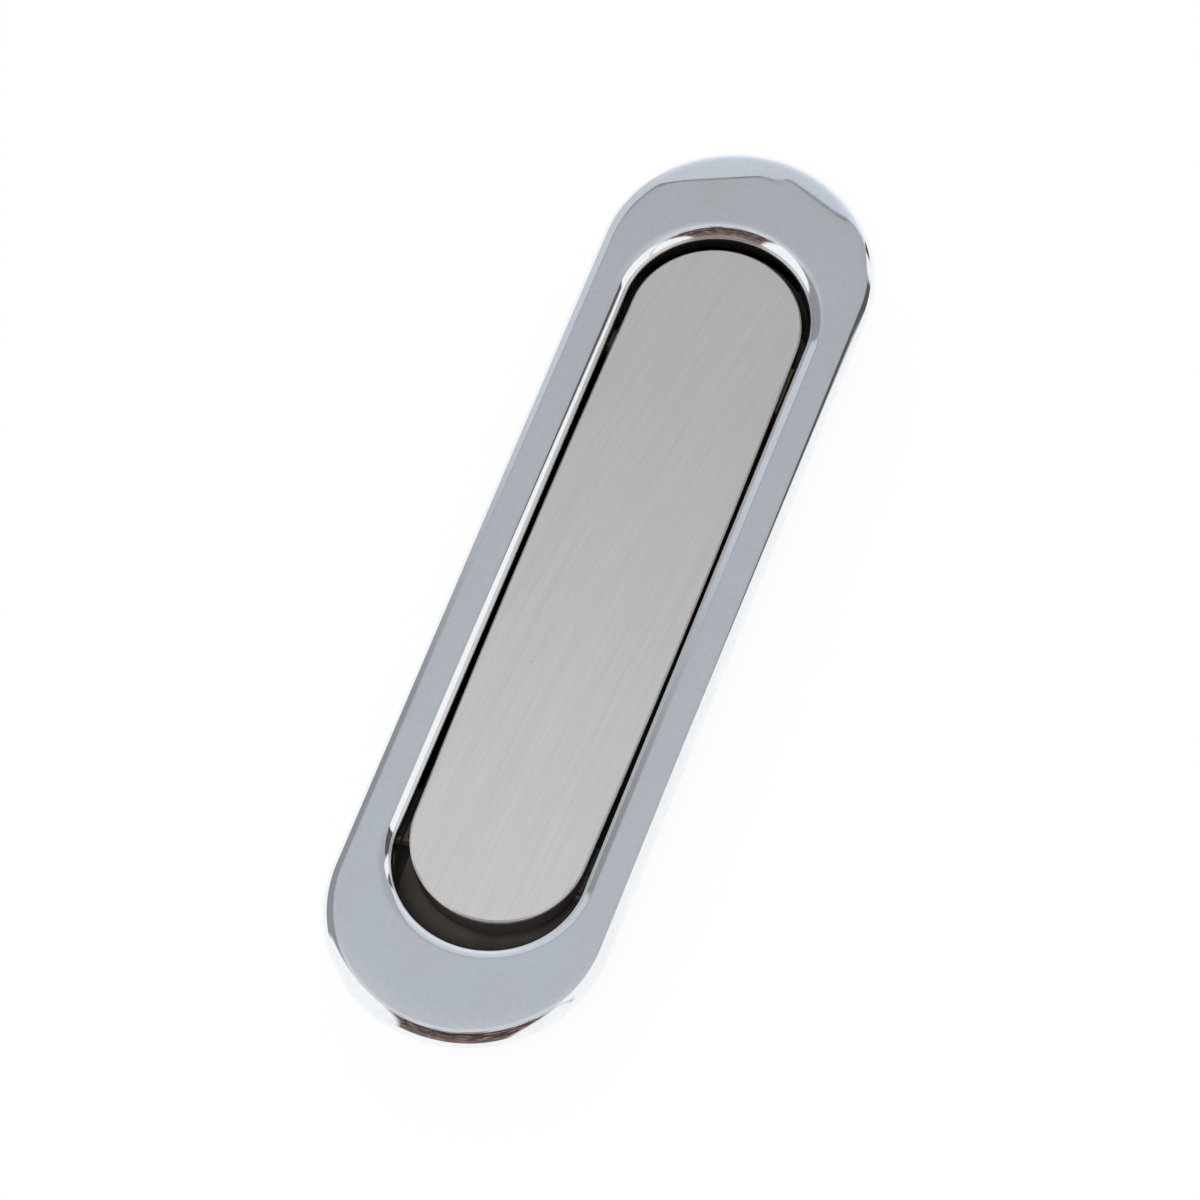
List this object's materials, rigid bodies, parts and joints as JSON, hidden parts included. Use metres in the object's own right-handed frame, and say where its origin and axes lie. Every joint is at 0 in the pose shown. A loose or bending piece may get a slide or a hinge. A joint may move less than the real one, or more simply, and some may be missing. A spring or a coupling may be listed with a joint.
{
  "type": "recessed pull handle",
  "caption": "Oval recessed pull handle: a plated ring with a brushed plate that tips on a cross pin, so its long end rises to be gripped.",
  "frame": {"origin": "centre of the opening, on the face of the door that the ring seats against", "axes": "+Z out of the door towards the user, +Y along the handle towards the end of the plate that is pressed in"},
  "size_m": [0.04, 0.145, 0.0177],
  "materials": {
    "plated_ring": "polished",
    "brushed_plate": "brushed",
    "black_housing": "satin",
    "black_flap": "satin",
    "tape": "matte",
    "pin_steel": "ground",
    "bush": "semi-gloss",
    "spring_wire": "drawn",
    "soft_pad": "matte",
    "screw_zinc": "zinc plated"
  },
  "bodies": {
    "handle_body": {"bezel": "plated_ring", "housing": "black_housing", "housing_screw_1": "screw_zinc", "housing_screw_2": "screw_zinc", "housing_screw_3": "screw_zinc", "housing_screw_4": "screw_zinc", "hinge_bush_left": "bush", "hinge_bush_right": "bush", "torsion_spring_left": "spring_wire", "torsion_spring_right": "spring_wire", "press_pad": "soft_pad", "rest_pad_left": "soft_pad", "rest_pad_right": "soft_pad"},
    "flap_body": {"face_plate": "brushed_plate", "adhesive_sheet": "tape", "flap": "black_flap", "hinge_pin": "pin_steel"}
  },
  "joints": [
    {"name": "flap_tilt", "type": "hinge", "parent": "handle_body", "child": "flap_body", "pos_m": [0, 0.03895, -0.0061], "axis": [-1, 0, 0], "range_deg": [0, 28], "stiffness_Nm_per_rad": 0.02, "springref_deg": -57.3, "deforming": ["torsion_spring_left", "torsion_spring_right"]}
  ]
}
